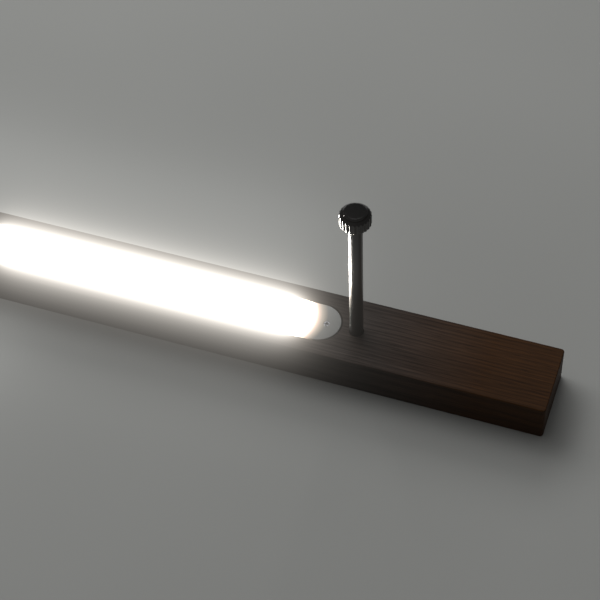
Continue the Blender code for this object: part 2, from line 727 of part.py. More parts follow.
def knob(axis):
    at = (STEM_X, 0, 0)
    body = place("knob", mesh_from(knob_blank(), "knob"), "black_gloss", parent=axis)
    recess = turned(
        [
            (0, KNOB_BOTTOM - CUT_OVER),
            (KNOB_RADIUS - KNOB_RECESS_WALL, KNOB_BOTTOM - CUT_OVER),
            (KNOB_RADIUS - KNOB_RECESS_WALL, HUB_BOTTOM),
            (SHAFT_RADIUS + FIT_GAP, HUB_BOTTOM),
            (SHAFT_RADIUS + FIT_GAP, BORE_TOP),
            (0, BORE_TOP),
        ],
        28,
    )
    seat = rod(CAP_RADIUS + FIT_GAP, CAP_FLOOR, KNOB_TOP + CUT_OVER, 36)
    grub_hole = rod(GRUB_DIAMETER / 2 + FIT_GAP, 0, KNOB_RADIUS + CUT_OVER, 16)
    sideways = (-math.pi / 2, 0, 0)
    boolean(
        body,
        [cutter(recess, at), cutter(seat, at), cutter(grub_hole, (STEM_X, 0, grub_height()), sideways)],
    )

    bottom, top = CAP_FLOOR + FIT_GAP, CAP_FLOOR + FIT_GAP + CAP_THICKNESS
    edge = 0.4 * MM
    disc = [(0, bottom), (CAP_RADIUS, bottom), (CAP_RADIUS, top - edge), (CAP_RADIUS - edge, top), (0, top)]
    cap = turned(disc, 36)
    place("knob_cap", mesh_from(cap, "knob_cap", math.radians(30)), "black_gloss", parent=axis)

    start, end = shaft_flat_y() + FIT_GAP, KNOB_RADIUS - GRUB_INSET
    socket = GRUB_DIAMETER / 4
    grub = [
        (0, start),
        (GRUB_DIAMETER / 2, start),
        (GRUB_DIAMETER / 2, end),
        (socket, end),
        (socket, end - GRUB_DIAMETER / 2),
        (0, end - GRUB_DIAMETER / 2),
    ]
    mesh = mesh_from(turned(grub, 16), "knob_grub_screw", math.radians(40))
    place("knob_grub_screw", mesh, "zinc_steel", (0, 0, grub_height()), sideways, axis)


# Dimmer electronics


def dimmer_electronics():
    at = (STEM_X, 0, 0)
    board = place(
        "dimmer_board",
        mesh_from(block((PCB_LENGTH, PCB_WIDTH, PCB_THICKNESS), PCB_BOTTOM), "dimmer_board"),
        "green_board",
        at,
    )
    spacer_bore = PAN_SCREW[1] + FIT_GAP
    spacer = tube(spacer_bore + SPACER_WALL, spacer_bore, POT_BOTTOM, PLATE_BOTTOM - FIT_GAP, 16)
    spacer_mesh = mesh_from(spacer, "board_spacer", math.radians(35))
    screw_mesh = mesh_from(pan_screw_shape(PAN_SCREW, PCB_SCREW_LENGTH), "pan_screw", math.radians(40))
    holes = []
    for number, sign in ((1, -1), (2, 1)):
        y = sign * PCB_SCREW_OFFSET
        place(f"board_spacer_{number}", spacer_mesh, "brass", (STEM_X, y, 0))
        head_seat = PCB_BOTTOM - FIT_GAP
        place(f"dimmer_board_screw_{number}", screw_mesh, "zinc_steel", (STEM_X, y, head_seat), POINT_UP)
        holes.append(cutter(rod(spacer_bore, PCB_BOTTOM - CUT_OVER, PCB_TOP + CUT_OVER, 16), (STEM_X, y, 0)))
    boolean(board, holes)

    bm = block((POT_LENGTH, POT_WIDTH, POT_HEIGHT), POT_BOTTOM)
    bevel_edges(bm, 0.6 * MM, 1, above(POT_TOP))
    pot = place("potentiometer", mesh_from(bm, "potentiometer"), "black_plastic", at)
    bore = rod(SHAFT_RADIUS + FIT_GAP, POT_TOP - POT_BORE_DEPTH, POT_TOP + CUT_OVER, 28)
    boolean(pot, [cutter(bore, at)])

    terminal = block((TERMINAL_LENGTH, TERMINAL_WIDTH, TERMINAL_HEIGHT), POT_BOTTOM)
    bevel_edges(terminal, 0.5 * MM, 1, above(POT_BOTTOM + TERMINAL_HEIGHT))
    place("dimmer_terminal", mesh_from(terminal, "dimmer_terminal"), "white_plastic", dimmer_terminal_place())


def dimmer_terminal_place():
    x = STEM_X - PCB_LENGTH / 2 + TERMINAL_LENGTH / 2 + 1 * MM
    return (x, PCB_WIDTH / 2 - TERMINAL_WIDTH / 2 - 1 * MM, 0)


# Driver


def driver():
    length = DRIVER_RIGHT - DRIVER_LEFT
    half = DRIVER_WIDTH / 2
    bottom = HATCH_TOP + FIT_GAP + DRIVER_LID + FIT_GAP
    bm = box(DRIVER_LEFT, DRIVER_RIGHT, -half, half, bottom, PLATE_TOP)
    bevel_edges(bm, 1.0 * MM, 2, lambda e: abs(e.verts[0].co.z - e.verts[1].co.z) > 1 * MM)
    case = place("driver_case", mesh_from(bm, "driver_case"), "white_plastic")
    ears = []
    for x, y in ear_centres():
        ear = block((EAR_LENGTH + CUT_OVER, EAR_WIDTH, EAR_THICKNESS), PLATE_TOP - EAR_THICKNESS)
        inward = math.copysign(CUT_OVER / 2, -y)
        ears.append(cutter(ear, (x - inward, y, 0)))
    boolean(case, ears, "UNION")
    w = DRIVER_WALL
    hollow = box(DRIVER_LEFT + w, DRIVER_RIGHT - w, w - half, half - w, bottom - CUT_OVER, PLATE_TOP - w)
    boolean(case, [cutter(hollow)] + holes_for("driver_screw"))

    lid_bottom = HATCH_TOP + FIT_GAP
    lid = block((length, DRIVER_WIDTH, DRIVER_LID), lid_bottom)
    centre = (DRIVER_LEFT + DRIVER_RIGHT) / 2
    place("driver_lid", mesh_from(lid, "driver_lid"), "white_plastic", (centre, 0, 0))

    clear = 2 * (w + FIT_GAP)
    board_bottom = bottom + DRIVER_BOARD_DROP
    board = block((length - clear, DRIVER_WIDTH - clear, PCB_THICKNESS), board_bottom)
    place("driver_board", mesh_from(board, "driver_board"), "green_board", (centre, 0, 0))
    core = block(TRANSFORMER_SIZE, board_bottom + PCB_THICKNESS + FIT_GAP)
    bevel_edges(core, 0.8 * MM, 1, lambda e: e.calc_length() < TRANSFORMER_SIZE[2] * 1.01)
    place("driver_transformer", mesh_from(core, "driver_transformer"), "black_plastic", (centre, 0, 0))

    blocks = (("mains_terminal", DRIVER_LEFT, -1), ("output_terminal", DRIVER_RIGHT, 1))
    for name, wall, outward in blocks:
        bm = block((BLOCK_LENGTH, BLOCK_WIDTH, BLOCK_HEIGHT), PLATE_TOP - EAR_THICKNESS - BLOCK_HEIGHT)
        bevel_edges(bm, 0.8 * MM, 1, lambda e: e.calc_length() < BLOCK_LENGTH * 1.01)
        x = wall + outward * (FIT_GAP + BLOCK_LENGTH / 2)
        y = -outward * (half - BLOCK_WIDTH / 2)
        place(name, mesh_from(bm, name), "white_plastic", (x, y, 0))


# Back hatches, mains inlet and suspension inserts


def hatch(name, span):
    outline = rounded_outline(*span, -HATCH_HALF_WIDTH, HATCH_HALF_WIDTH, ROUTER_RADIUS)
    mesh = mesh_from(prism(outline, HATCH_RECESS, HATCH_TOP), name)
    return place(name, mesh, "powder_coat")


def hatches():
    boolean(hatch("dimmer_hatch", dimmer_hatch_span()), holes_for("dimmer_hatch_screw"))
    inlet = rod(grommet_neck() + FIT_GAP, HATCH_RECESS - CUT_OVER, HATCH_TOP + CUT_OVER, 28)
    cuts = [cutter(inlet, (grommet_x(), 0, 0))] + holes_for("driver_hatch_screw")
    boolean(hatch("driver_hatch", driver_hatch_span()), cuts)


def mains_grommet():
    neck, bore = grommet_neck(), GROMMET_BORE / 2
    rim = neck + GROMMET_FLANGE
    low, high = HATCH_RECESS - FIT_GAP, HATCH_TOP + FIT_GAP
    profile = [
        (bore, low - GROMMET_RIM),
        (rim - 0.4 * MM, low - GROMMET_RIM),
        (rim, low),
        (neck, low),
        (neck, high),
        (rim, high),
        (rim - 0.4 * MM, high + GROMMET_RIM),
        (bore, high + GROMMET_RIM),
    ]
    mesh = mesh_from(turned(profile, 28, ring=True), "mains_grommet", math.radians(30))
    place("mains_grommet", mesh, "rubber", (grommet_x(), 0, 0))


def insert_radius():
    return INSERT_BORE / 2 + INSERT_WALL


def suspension_inserts():
    bore, body = INSERT_BORE / 2, insert_radius()
    profile = [
        (bore, FIT_GAP),
        (INSERT_FLANGE_RADIUS, FIT_GAP),
        (INSERT_FLANGE_RADIUS, FIT_GAP + INSERT_FLANGE),
        (body, FIT_GAP + INSERT_FLANGE),
        (body, FIT_GAP + INSERT_LENGTH),
        (bore, FIT_GAP + INSERT_LENGTH),
    ]
    mesh = mesh_from(turned(profile, 24, ring=True), "suspension_insert", math.radians(35))
    for side, sign in (("left", -1), ("right", 1)):
        place(f"suspension_insert_{side}", mesh, "brass", (sign * INSERT_X, 0, 0))


# Leads


def tangent(before, here, after):
    """The direction of a smooth route at one of its points, as long as the shorter of the spans beside it."""
    reach = min((here - before).length, (after - here).length)
    return (after - before).normalized() * reach


def smooth_route(points, steps):
    """Points along a smooth curve through the given ones, with that many steps for each span."""
    ends = [points[0] * 2 - points[1]] + points + [points[-1] * 2 - points[-2]]
    tangents = [tangent(*three) for three in zip(ends, ends[1:], ends[2:])]
    route = []
    for a, b, ta, tb, count in zip(points, points[1:], tangents, tangents[1:], steps):
        for step in range(count):
            t = step / count
            bend = ta * (t**3 - 2 * t**2 + t) + tb * (t**3 - t**2)
            route.append(a.lerp(b, 3 * t**2 - 2 * t**3) + bend)
    return route + [points[-1]]


def lead(name, finish_name, points, steps):
    curve = bpy.data.curves.new(name, "CURVE")
    curve.dimensions = "3D"
    curve.bevel_depth = LEAD_DIAMETER / 2
    curve.bevel_resolution = 2
    curve.use_fill_caps = True
    route = smooth_route([Vector(p) for p in points], steps)
    spline = curve.splines.new("POLY")
    spline.points.add(len(route) - 1)
    for point, at in zip(spline.points, route):
        point.co = (*at, 1)
    curve.materials.append(finish(finish_name))
    bpy.context.scene.collection.objects.link(bpy.data.objects.new(name, curve))


def leads():
    block_face = DRIVER_RIGHT + 2 * FIT_GAP + BLOCK_LENGTH
    block_middle = PLATE_TOP - EAR_THICKNESS - BLOCK_HEIGHT / 2
    in_slot = CHANNEL_FLOOR - 1.5 * MM
    wall, end = POCKET_NEAR_WALL, CHANNEL_END
    on_floor = CHANNEL_FLOOR + FIT_GAP + LEAD_DIAMETER / 2
    beside_rail = (RAIL_WIDTH + RAIL_SIDE_SPACE) / 2
    inside_rail = RAIL_WIDTH / 2 - RAIL_LIP
    on_board = BOARD_TOP + FIT_GAP + LEAD_DIAMETER / 2
    led_route = [
        (block_face, -8 * MM, block_middle),
        (block_face + 3 * MM, -8 * MM, block_middle),
        (-wall - 1 * MM, -8.7 * MM, block_middle - 1.5 * MM),
        (-wall + 4 * MM, -SLOT_OFFSET, in_slot),
        (-end - 1 * MM, -SLOT_OFFSET, in_slot),
        (-end + 3.5 * MM, -0.8 * inside_rail, on_board - 1 * MM),
        (-RAIL_END + 2.5 * MM, -0.55 * inside_rail, on_board + 1.2 * MM),
        (-BOARD_RUN + 4 * MM, -0.45 * inside_rail, on_board),
    ]
    lead("led_lead", "grey_cable", led_route, [1, 3, 2, 3, 3, 2, 3])

    terminal_x, terminal_y, _ = dimmer_terminal_place()
    terminal_face = terminal_x - TERMINAL_LENGTH / 2 - FIT_GAP
    wire_height = POT_BOTTOM + TERMINAL_HEIGHT / 2
    dimmer_route = [
        (block_face, 3 * MM, block_middle),
        (block_face + 3 * MM, 3 * MM, block_middle),
        (-wall - 1 * MM, 7.5 * MM, block_middle - 1.5 * MM),
        (-wall + 4 * MM, SLOT_OFFSET, in_slot),
        (-end - 1 * MM, SLOT_OFFSET, in_slot),
        (-end + 6 * MM, beside_rail - 0.3 * MM, on_floor),
        (-RAIL_END + 4 * MM, beside_rail, on_floor),
        (RAIL_END - 4 * MM, beside_rail, on_floor),
        (end - 6 * MM, beside_rail - 0.3 * MM, on_floor),
        (end + 1 * MM, SLOT_OFFSET, in_slot),
        (wall - 2 * MM, SLOT_OFFSET, wire_height),
        (terminal_face - 2 * MM, terminal_y, wire_height),
        (terminal_face, terminal_y, wire_height),
    ]
    lead("dimmer_lead", "grey_cable", dimmer_route, [1, 3, 2, 3, 3, 2, 12, 2, 3, 3, 2, 1])


def main():
    clear_scene()
    wood_beam()
    light_cover()
    led_rail()
    led_boards()
    stem()
    axis = spindle_axis()
    shafts(axis)
    knob(axis)
    dimmer_electronics()
    driver()
    hatches()
    mains_grommet()
    suspension_inserts()
    screws()
    leads()


main()
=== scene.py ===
"""The looks of a linear wooden LED luminaire with a dimmer stem.

Everything is in metres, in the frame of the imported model: X runs along the beam and Z out of its lit
face. Sizes and places come from the frame. The camera and the light come first, then the materials,
then the pieces.
"""

import json
import math

import bmesh
import bpy
from mathutils import Matrix, Quaternion, Vector


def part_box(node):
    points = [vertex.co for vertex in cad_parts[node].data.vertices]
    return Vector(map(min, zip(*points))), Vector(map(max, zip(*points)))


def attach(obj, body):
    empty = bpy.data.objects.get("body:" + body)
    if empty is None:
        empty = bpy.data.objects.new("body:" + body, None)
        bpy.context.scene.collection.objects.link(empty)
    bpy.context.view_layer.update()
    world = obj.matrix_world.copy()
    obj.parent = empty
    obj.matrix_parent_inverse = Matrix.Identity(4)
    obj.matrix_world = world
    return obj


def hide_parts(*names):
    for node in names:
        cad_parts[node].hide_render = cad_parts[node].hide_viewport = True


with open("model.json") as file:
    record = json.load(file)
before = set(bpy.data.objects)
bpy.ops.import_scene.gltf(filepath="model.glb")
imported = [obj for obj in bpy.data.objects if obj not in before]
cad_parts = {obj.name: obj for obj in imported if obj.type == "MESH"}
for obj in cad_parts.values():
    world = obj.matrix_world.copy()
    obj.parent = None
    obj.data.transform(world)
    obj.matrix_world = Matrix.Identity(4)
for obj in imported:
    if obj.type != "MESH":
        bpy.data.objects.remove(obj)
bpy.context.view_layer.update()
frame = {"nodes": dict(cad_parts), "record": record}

MM = 0.001
FIT_GAP = 0.3 * MM  # what the frame leaves between pieces that touch
EPSILON = 1e-6

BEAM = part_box("wood_beam")
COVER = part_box("light_cover")
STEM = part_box("stem_tube")
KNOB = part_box("knob")
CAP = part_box("knob_cap")
LIT_FACE = BEAM[1].z


def middle(box):
    """The centre of a box of two corners."""
    return (box[0] + box[1]) / 2


def width(box):
    """A box's size from front to back."""
    return box[1].y - box[0].y


# Camera


def set_camera():
    """A long lens, above the beam's front and turned to its right, aimed just off the stem's foot."""
    azimuth, elevation, roll = map(math.radians, (21.13, 50.79, -2.86))
    away, aside, above = 1.293, -0.040, 0.0245
    back = Vector((math.sin(azimuth), -math.cos(azimuth), 0)) * math.cos(elevation)
    back.z = math.sin(elevation)
    turn = back.to_track_quat("Z", "Y")
    data = bpy.data.cameras.new("camera")
    data.lens = 106.6
    data.sensor_width = 36
    camera = bpy.data.objects.new("camera", data)
    bpy.context.scene.collection.objects.link(camera)
    foot = Vector((middle(STEM).x, middle(STEM).y, LIT_FACE))
    camera.location = foot + turn @ Vector((aside, above, away))
    camera.rotation_mode = "QUATERNION"
    camera.rotation_quaternion = turn @ Quaternion((0, 0, 1), roll)
    bpy.context.scene.camera = camera


# Studio


def area_light(name, location, size, power, target=(0.1, 0, 0), in_gloss=True):
    """A soft rectangular light aimed at a point. Without in_gloss it leaves no highlights."""
    data = bpy.data.lights.new(name, "AREA")
    data.shape = "RECTANGLE"
    data.size, data.size_y = size
    data.energy = power
    light = bpy.data.objects.new(name, data)
    bpy.context.scene.collection.objects.link(light)
    light.location = location
    light.rotation_euler = (Vector(location) - Vector(target)).to_track_quat("Z", "Y").to_euler()
    light.visible_glossy = in_gloss
    light.visible_camera = False


SKY_STRENGTH = 0.06
FLOOR_SIZE = 12  # metres from its middle to each side


def set_studio():
    """Soft light from behind, from the left and from above, a weak sky, and the lamp's own spill: two
    strips that hang over the floor on both sides of the lit cover."""
    area_light("back_light", (-0.5, 2.3, 1.5), (1.6, 1.0), 16)
    area_light("left_light", (-1.6, 1.1, 1.9), (2.0, 2.0), 33, in_gloss=False)
    area_light("over_light", (0, 0.2, 2.5), (2.0, 2.0), 7, target=(0, 0.2, 0), in_gloss=False)
    for name, spot, height, size, power in (
        ("spill_behind", (-0.15, 0.085), 0.046, (0.9, 0.1), 0.07),
        ("spill_in_front", (-0.25, -0.075), 0.05, (0.7, 0.07), 0.055),
    ):
        area_light(name, (*spot, height), size, power, target=(*spot, 0), in_gloss=False)
    world = bpy.data.worlds.new("studio")
    bpy.context.scene.world = world
    world.use_nodes = True
    sky = world.node_tree.nodes["Background"]
    sky.inputs["Color"].default_value = linear("ffffff")
    sky.inputs["Strength"].default_value = SKY_STRENGTH
    bm = bmesh.new()
    bmesh.ops.create_grid(bm, x_segments=1, y_segments=1, size=FLOOR_SIZE)
    mesh = bpy.data.meshes.new("floor")
    bm.to_mesh(mesh)
    bm.free()
    floor = bpy.data.objects.new("floor", mesh)
    bpy.context.scene.collection.objects.link(floor)
    mesh.materials.append(floor_paper())


LENS_GLOW = (  # kind, strength and size of each layer
    ("BLOOM", 0.0095, 0.4),
    ("BLOOM", 0.004, 1.0),
    ("FOG_GLOW", 0.105, 0.4),
    ("FOG_GLOW", 0.0047, 0.8),
)


def set_lens_glow():
    """The veil of light that a lens spreads round a lit lamp: bright close to it and faint far out."""
    scene = bpy.context.scene
    scene.view_settings.view_transform = "Standard"
    scene.use_nodes = True
    tree = scene.node_tree
    tree.nodes.clear()
    picture = tree.nodes.new("CompositorNodeRLayers").outputs["Image"]
    for kind, strength, size in LENS_GLOW:
        glare = tree.nodes.new("CompositorNodeGlare")
        glare.glare_type = kind
        glare.quality = "HIGH"
        glare.inputs["Threshold"].default_value = 1.0
        glare.inputs["Strength"].default_value = strength
        glare.inputs["Size"].default_value = size
        tree.links.new(picture, glare.inputs["Image"])
        picture = glare.outputs["Image"]
    output = tree.nodes.new("CompositorNodeComposite")
    tree.links.new(picture, output.inputs["Image"])


# Materials


def linear(hex_colour):
    """The linear colour, with alpha, of an sRGB hex value."""
    channels = [int(hex_colour[n : n + 2], 16) / 255 for n in (0, 2, 4)]
    return [c / 12.92 if c <= 0.04045 else ((c + 0.055) / 1.055) ** 2.4 for c in channels] + [1]


def feed(node, inputs):
    """Sets a node's inputs, each to a value, to a socket or to another node's first output."""
    for key, value in inputs.items():
        if isinstance(value, bpy.types.Node):
            value = value.outputs[0]
        if isinstance(value, bpy.types.NodeSocket):
            node.id_data.links.new(value, node.inputs[key])
        else:
            node.inputs[key].default_value = value


def add(tree, kind, inputs, stops=(), **settings):
    """Adds a shader node with its settings and links. Stops are a ramp's (position, hex colour) pairs."""
    node = tree.nodes.new("ShaderNode" + kind)
    for name, value in settings.items():
        setattr(node, name, value)
    feed(node, inputs)
    for number, (position, colour) in enumerate(stops):
        ramp = node.color_ramp.elements
        stop = ramp[number] if number < 2 else ramp.new(position)
        stop.position = position
        stop.color = linear(colour)
    return node


def surface(name, inputs):
    """A material with those values on its Principled shader, its node tree and the shader."""
    material = bpy.data.materials.new(name)
    material.use_nodes = True
    shader = material.node_tree.nodes["Principled BSDF"]
    feed(shader, inputs)
    return material, material.node_tree, shader


def at_scale(tree, millimetres, stretch=(1, 1, 1)):
    """Object coordinates in steps of that many millimetres, longer along an axis by its stretch."""
    place = add(tree, "TexCoord", {}).outputs["Object"]
    return add(tree, "Mapping", {"Vector": place, "Scale": [1 / (millimetres * MM * s) for s in stretch]})


def floor_paper():
    """Matt grey studio paper: even, with a slow drift of tone and a faint tooth."""
    material, tree, shader = surface("floor_paper_matt", {"Roughness": 0.85, "Specular IOR Level": 0.2})
    drift = add(tree, "TexNoise", {"Vector": at_scale(tree, 400), "Scale": 1.0, "Detail": 2.0})
    tint = add(tree, "ValToRGB", {"Fac": drift}, stops=((0.3, "aeafac"), (0.7, "b4b5b2")))
    tooth = add(tree, "TexNoise", {"Vector": at_scale(tree, 1.5), "Scale": 1.0, "Detail": 3.0})
    relief = add(tree, "Bump", {"Height": tooth, "Strength": 0.08, "Distance": 0.2 * MM})
    feed(shader, {"Base Color": tint, "Normal": relief})
    return material


RING_PITCH = 3 * MM
RING_WANDER = 7 * MM  # how far the rings swerve over the length of a hand
RING_RIPPLE = 1.2 * MM  # and over the length of a finger
SHEEN_FULL_UP_TO = 360 * MM  # from the beam's middle to where the painted sheen, drawn as greyer timber, starts to fade
SHEEN_GONE_FROM = 450 * MM  # and to where it is gone and the timber has its full warm colour


def smoked_oak():
    """Smoked oak, planed and oiled. Its year rings show as fine dark lines along the beam and as arcs on
    its ends, its pores as short dashes, and the oil leaves it satin where the wood is dense."""
    material, tree, shader = surface("smoked_oak_oiled", {"IOR": 1.45, "Specular IOR Level": 0.16})
    place = add(tree, "TexCoord", {}).outputs["Object"]
    # The rings are tubes round a pith that lies well below and behind the beam.
    from_pith = add(tree, "Mapping", {"Vector": place, "Location": (0, -0.19, 0.06), "Scale": (0, 1, 1)})
    radius = add(tree, "VectorMath", {0: from_pith}, operation="LENGTH").outputs["Value"]
    swerve = at_scale(tree, 16, (11, 1, 1))
    wander = add(tree, "TexNoise", {"Vector": swerve, "Scale": 1.0, "Detail": 3.0})
    waver = at_scale(tree, 2.5, (14, 1, 1))
    ripple = add(tree, "TexNoise", {"Vector": waver, "Scale": 1.0, "Detail": 2.0})
    radius = add(tree, "Math", {0: wander, 1: RING_WANDER, 2: radius}, operation="MULTIPLY_ADD")
    radius = add(tree, "Math", {0: ripple, 1: RING_RIPPLE, 2: radius}, operation="MULTIPLY_ADD")
    years = add(tree, "Math", {0: radius, 1: RING_PITCH}, operation="DIVIDE")
    season = add(tree, "Math", {0: years}, operation="FRACT")
    year = add(
        tree,
        "ValToRGB",
        {"Fac": season},
        stops=((0.0, "4a4a4a"), (0.2, "8c8c8c"), (0.55, "b2b2b2"), (0.85, "7c7c7c"), (1.0, "4a4a4a")),
    )
    fibres = at_scale(tree, 0.8, (30, 1, 1))
    fibre = add(tree, "TexNoise", {"Vector": fibres, "Scale": 1.0, "Detail": 4.0})
    broad = add(tree, "TexNoise", {"Vector": at_scale(tree, 45, (5, 1, 1)), "Scale": 1.0, "Detail": 2.0})
    tone = add(tree, "Math", {0: fibre, 1: 0.9, 2: -0.375}, operation="MULTIPLY_ADD")
    tone = add(tree, "Math", {0: year, 1: 0.65, 2: tone}, operation="MULTIPLY_ADD")
    tone = add(tree, "Math", {0: broad, 1: 0.5, 2: tone}, operation="MULTIPLY_ADD")
    stain = add(
        tree,
        "ValToRGB",
        {"Fac": tone},
        stops=((0.1, "22140a"), (0.45, "3a2411"), (0.7, "472c13"), (0.95, "563518")),
    )
    # Painted sheen: the timber is drawn greyer beside the lamp, where the lamp's glow lies on it,
    # and keeps its full warm colour towards the beam's ends.
    along = add(tree, "Math", {0: add(tree, "SeparateXYZ", {0: place})}, operation="ABSOLUTE")
    sheen_fade = {"From Min": SHEEN_FULL_UP_TO, "From Max": SHEEN_GONE_FROM, "To Min": 0.35, "To Max": 1.0}
    saturation_past_sheen = add(tree, "MapRange", {"Value": along, **sheen_fade})
    # the stain's saturation drops beside the lamp: a painted sheen, not a change in the wood
    stain = add(tree, "HueSaturation", {"Color": stain, "Saturation": saturation_past_sheen})
    # Pores: thin dark dashes some 8 mm long, drawn a little wide so that they show.
    dashes = at_scale(tree, 0.55, (26, 1, 1))
    pore = add(tree, "TexNoise", {"Vector": dashes, "Scale": 1.0, "Detail": 1.0})
    open_pore = add(tree, "MapRange", {"Value": pore, "From Min": 0.66, "From Max": 0.74, "To Max": 0.55})
    mixed = add(tree, "Mix", {0: open_pore, 6: stain, 7: linear("150c06")}, data_type="RGBA")
    dense_is_glossier = {"From Min": 0.2, "From Max": 0.9, "To Min": 0.66, "To Max": 0.5}
    rough = add(tree, "MapRange", {"Value": tone, **dense_is_glossier})
    height = add(tree, "Math", {0: tone, 1: open_pore}, operation="SUBTRACT")
    relief = add(tree, "Bump", {"Height": height, "Strength": 0.3, "Distance": 0.15 * MM})
    feed(shader, {"Base Color": mixed.outputs[2], "Roughness": rough, "Normal": relief})
    return material


GLOW = 90.0
OPAL_UNLIT = "8b8d8b"
UNLIT_END = 11 * MM  # from the cover's end to where its light has died out
LIT_FADE = 26 * MM  # from there to where it is fully lit
LIT_SKEW = 0.1  # how much longer the fade is at the cover's back, as a share
LIT_BOW = 5 * MM  # how far in the unlit end reaches at the cover's sides
LIT_STOPS = (  # colour of the light, from where it has died out inwards
    (0.0, "000000"),
    (0.08, "040302"),
    (0.17, "0a0806"),
    (0.26, "140f0c"),
    (0.36, "211d19"),
    (0.5, "4a443c"),
    (0.72, "a79d91"),
    (1.0, "fff9f0"),
)


def opal_acrylic():
    """Satin opal acrylic, lit from below as far as the LEDs' channel reaches. Past it the light dies out
    through a warm fringe, bowed like the end of the cover, and leaves the plain grey-white sheet."""
    material, tree, shader = surface(
        "opal_acrylic_satin",
        {"Base Color": linear(OPAL_UNLIT), "Roughness": 0.34, "IOR": 1.49, "Emission Strength": GLOW},
    )
    place = add(tree, "SeparateXYZ", {0: add(tree, "TexCoord", {}).outputs["Object"]})
    along = add(tree, "Math", {0: place.outputs["X"]}, operation="ABSOLUTE")
    side = add(tree, "Math", {0: place.outputs["Y"], 1: width(COVER) / 2}, operation="DIVIDE")
    bow = add(tree, "Math", {0: side, 1: side}, operation="MULTIPLY")
    reach = add(tree, "Math", {0: bow, 1: -LIT_BOW, 2: COVER[1].x - UNLIT_END}, operation="MULTIPLY_ADD")
    depth = add(tree, "Math", {0: reach, 1: along}, operation="SUBTRACT")
    fade = add(tree, "Math", {0: side, 1: LIT_SKEW * LIT_FADE, 2: LIT_FADE}, operation="MULTIPLY_ADD")
    share = add(tree, "Math", {0: depth, 1: fade}, operation="DIVIDE")
    glow = add(tree, "ValToRGB", {"Fac": share}, stops=LIT_STOPS)
    sheen = add(tree, "TexNoise", {"Vector": at_scale(tree, 0.6), "Scale": 1.0, "Detail": 2.0})
    relief = add(tree, "Bump", {"Height": sheen, "Strength": 0.05, "Distance": 0.05 * MM})
    feed(shader, {"Emission Color": glow, "Normal": relief})
    return material


def between(low, high):
    """Inputs that spread the middle of a noise, where nearly all of it lies, from low to high."""
    return {"From Min": 0.3, "From Max": 0.7, "To Min": low, "To Max": high}


def metal(name, light, dark, roughness, grain, stretch=(1, 1, 1), relief=0.03):
    """A metal whose marks, at that grain in millimetres, change its tone and gloss a little."""
    material, tree, shader = surface(name, {"Metallic": 1.0})
    marks = add(tree, "TexNoise", {"Vector": at_scale(tree, grain, stretch), "Scale": 1.0, "Detail": 3.0})
    tone = add(tree, "ValToRGB", {"Fac": marks}, stops=((0.35, dark), (0.65, light)))
    gloss = add(tree, "MapRange", {"Value": marks, **between(*roughness)})
    bumps = add(tree, "Bump", {"Height": marks, "Strength": relief, "Distance": 0.03 * MM})
    feed(shader, {"Base Color": tone, "Roughness": gloss, "Normal": bumps})
    return material


def moulded(name, light, dark, roughness, grain, relief=0.1, **finish):
    """A moulded or sprayed finish with a fine texture at that grain in millimetres."""
    inputs = {key.replace("_", " "): value for key, value in finish.items()}
    material, tree, shader = surface(name, inputs)
    texture = add(tree, "TexNoise", {"Vector": at_scale(tree, grain), "Scale": 1.0, "Detail": 2.0})
    tone = add(tree, "ValToRGB", {"Fac": texture}, stops=((0.35, dark), (0.65, light)))
    gloss = add(tree, "MapRange", {"Value": texture, **between(*roughness)})
    bumps = add(tree, "Bump", {"Height": texture, "Strength": relief, "Distance": 0.05 * MM})
    feed(shader, {"Base Color": tone, "Roughness": gloss, "Normal": bumps})
    return material


def led_board_white():
    """White solder mask on aluminium. The LED packages stand above it with yellow phosphor on top."""
    material, tree, shader = surface("solder_mask_white", {"Roughness": 0.42})
    place = add(tree, "SeparateXYZ", {0: add(tree, "TexCoord", {}).outputs["Object"]})
    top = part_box("led_board_1")[1].z
    lens = {"From Min": top - 0.4 * MM, "From Max": top}
    height = add(tree, "MapRange", {"Value": place.outputs["Z"], **lens})
    stops = ((0.0, "e9e9e3"), (0.85, "efeee2"), (0.9, "f2c94a"))
    tone = add(tree, "ValToRGB", {"Fac": height}, stops=stops)
    mask = add(tree, "TexNoise", {"Vector": at_scale(tree, 0.7), "Scale": 1.0, "Detail": 2.0})
    bumps = add(tree, "Bump", {"Height": mask, "Strength": 0.08, "Distance": 0.05 * MM})
    feed(shader, {"Base Color": tone, "Normal": bumps})
    return material


def circuit_board_green():
    """Green solder mask over copper: dark laminate between lighter tracks about a millimetre wide."""
    material, tree, shader = surface("solder_mask_green", {"Roughness": 0.35, "Coat Weight": 0.3})
    cells = add(tree, "TexVoronoi", {"Vector": at_scale(tree, 3.2), "Scale": 1.0}, distance="MANHATTAN")
    tone = add(
        tree,
        "ValToRGB",
        {"Fac": cells.outputs["Distance"]},
        stops=((0.0, "c9b458"), (0.12, "2c7a4c"), (0.45, "2a7449"), (0.5, "1a5836")),
    )
    bumps = add(tree, "Bump", {"Height": tone, "Strength": 0.15, "Distance": 0.05 * MM})
    feed(shader, {"Base Color": tone, "Normal": bumps})
    return material


# The stem: steel in black stove enamel, satin enough that a lamp's reflection spreads wide on it.
BLACK_ENAMEL = moulded("steel_black_enamelled", "0d0d0f", "0b0b0d", (0.32, 0.34), 0.9, 0.004, IOR=1.65)
# The knob: glossy black phenolic, nearly a mirror on its round edges.
PHENOLIC = moulded("phenolic_black_gloss", "0c0c0d", "09090a", (0.11, 0.16), 0.7, 0.02, Coat_Weight=0.2)
# Screws and plates: bright blue-grey zinc, a little cloudy.
ZINC = metal("steel_zinc_plated", "ccced2", "b4b7bc", (0.36, 0.46), 0.9)
# Turned brass: warm yellow with the tool's marks.
BRASS = metal("brass_turned", "d0ac5e", "b8934c", (0.22, 0.34), 0.35, (1, 1, 0.4))
# Mill-finish extrusion: pale grey with die lines along its length.
ALUMINIUM = metal("aluminium_extruded", "cdcfd2", "b6b8bb", (0.3, 0.42), 0.3, (60, 1, 1))
